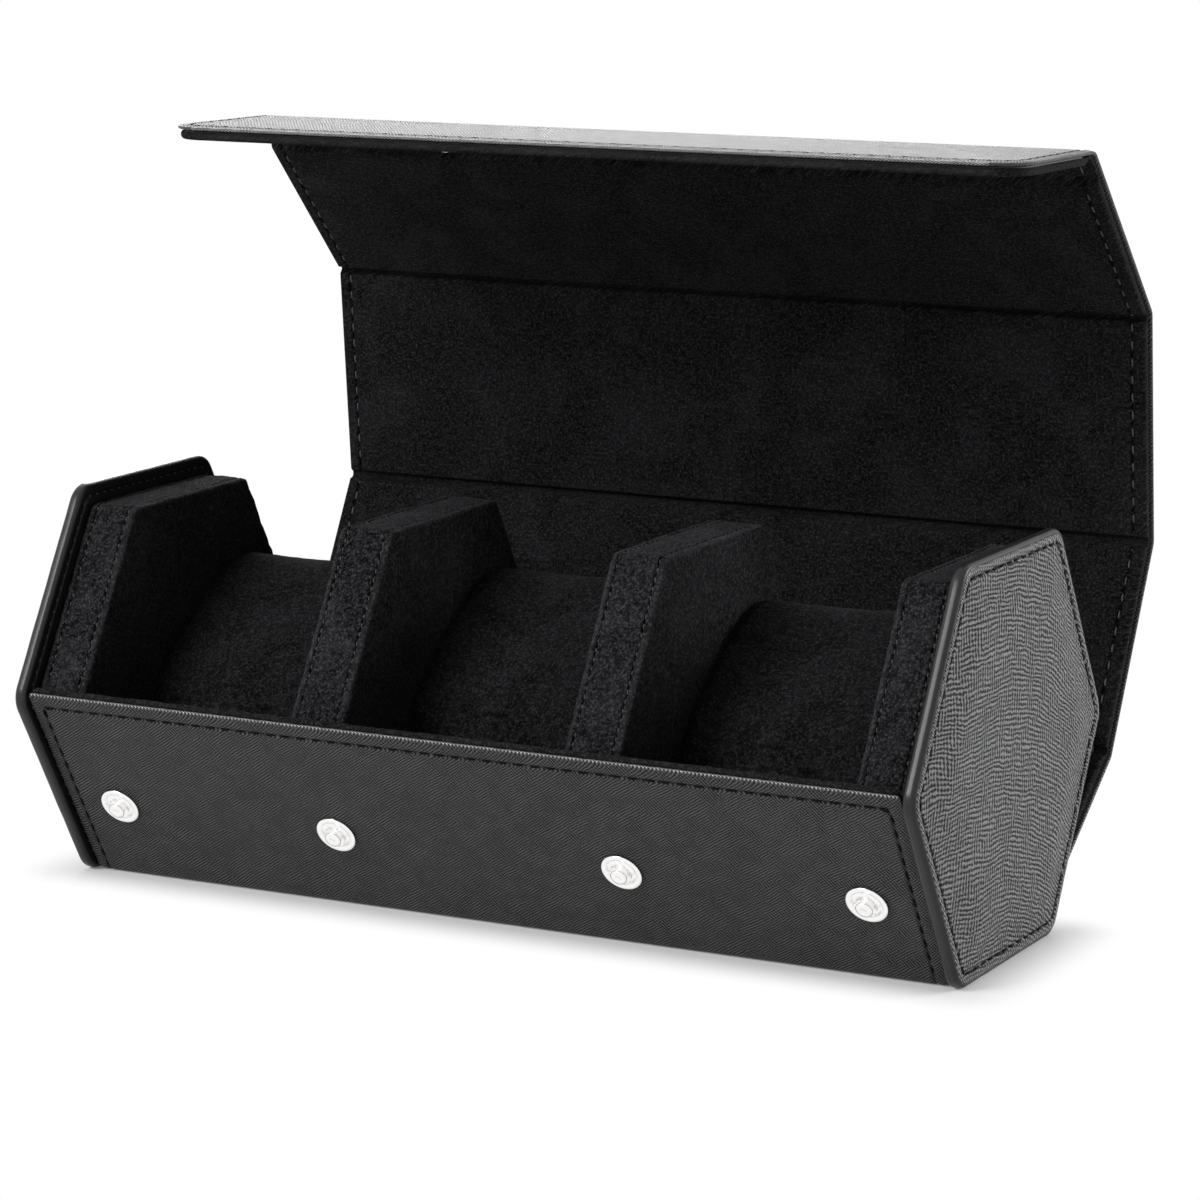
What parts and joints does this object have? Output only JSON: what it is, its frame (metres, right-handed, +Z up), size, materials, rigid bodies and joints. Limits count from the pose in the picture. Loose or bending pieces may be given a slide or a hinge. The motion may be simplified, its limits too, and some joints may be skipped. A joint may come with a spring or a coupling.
{
  "type": "hexagonal watch roll case",
  "caption": "Hexagonal roll case with padded bays between dividers, removable pillows and a folding cover that wraps round and closes with press studs on the front.",
  "frame": {"origin": "middle of the flat underside, on the surface that the case stands on", "axes": "+X along the roll, +Y from the stud side to the cover's side, +Z up"},
  "size_m": [0.22, 0.1429, 0.169],
  "materials": {
    "grained_leather": "satin",
    "smooth_leather": "satin",
    "suede": "matte",
    "grey_board": "matte",
    "foam": "matte",
    "nickel": "polished"
  },
  "bodies": {
    "base": {"base_board": "grey_board", "base_leather": "grained_leather", "bay_1_lining": "suede", "bay_2_lining": "suede", "bay_3_lining": "suede", "divider_1_band": "suede", "divider_1_core": "foam", "divider_1_left_face": "suede", "divider_1_right_face": "suede", "divider_2_band": "suede", "divider_2_core": "foam", "divider_2_left_face": "suede", "divider_2_right_face": "suede", "front_board": "grey_board", "left_block_core": "foam", "left_block_cover": "suede", "left_cap_binding": "smooth_leather", "left_cap_board": "grey_board", "left_cap_leather": "grained_leather", "right_block_core": "foam", "right_block_cover": "suede", "right_cap_binding": "smooth_leather", "right_cap_board": "grey_board", "right_cap_leather": "grained_leather", "stud_1": "nickel", "stud_2": "nickel", "stud_3": "nickel", "stud_4": "nickel"},
    "cover_1": {"cover_1_board": "grey_board", "cover_1_leather": "grained_leather", "cover_1_lining": "suede"},
    "cover_2": {"cover_2_board": "grey_board", "cover_2_leather": "grained_leather", "cover_2_lining": "suede"},
    "cover_3": {"cover_3_board": "grey_board", "cover_3_leather": "grained_leather", "cover_3_lining": "suede"},
    "cover_4": {"cover_4_board": "grey_board", "cover_4_leather": "grained_leather", "cover_4_lining": "suede"},
    "cover_5": {"cover_5_board": "grey_board", "cover_5_leather": "grained_leather", "cover_5_lining": "suede", "socket_1": "nickel", "socket_2": "nickel", "socket_3": "nickel", "socket_4": "nickel"},
    "pillow_1": {"pillow_1_core": "foam", "pillow_1_cover": "suede", "pillow_1_end": "suede"},
    "pillow_2": {"pillow_2_core": "foam", "pillow_2_cover": "suede", "pillow_2_end": "suede"},
    "pillow_3": {"pillow_3_core": "foam", "pillow_3_cover": "suede", "pillow_3_end": "suede"}
  },
  "joints": [
    {"name": "fold_1", "type": "hinge", "parent": "base", "child": "cover_1", "pos_m": [0, 0.02558, 0.0005], "axis": [-1, 0, 0], "range_deg": [-24.4, 35.6]},
    {"name": "fold_2", "type": "hinge", "parent": "cover_1", "child": "cover_2", "pos_m": [0, 0.06726, 0.03035], "axis": [-1, 0, 0], "range_deg": [-33.8, 26.2]},
    {"name": "fold_3", "type": "hinge", "parent": "cover_2", "child": "cover_3", "pos_m": [0, 0.09149, 0.07553], "axis": [-1, 0, 0], "range_deg": [-27.2, 32.8]},
    {"name": "fold_4", "type": "hinge", "parent": "cover_3", "child": "cover_4", "pos_m": [0, 0.08719, 0.12899], "axis": [-1, 0, 0], "range_deg": [-21.2, 38.8]},
    {"name": "fold_5", "type": "hinge", "parent": "cover_4", "child": "cover_5", "pos_m": [0, 0.05034, 0.16796], "axis": [-1, 0, 0], "range_deg": [-14.2, 45.8]},
    {"name": "pillow_1_lift", "type": "slide", "parent": "base", "child": "pillow_1", "axis": [0, 0, 1], "range_m": [0, 0.085]},
    {"name": "pillow_2_lift", "type": "slide", "parent": "base", "child": "pillow_2", "axis": [0, 0, 1], "range_m": [0, 0.085]},
    {"name": "pillow_3_lift", "type": "slide", "parent": "base", "child": "pillow_3", "axis": [0, 0, 1], "range_m": [0, 0.085]}
  ]
}
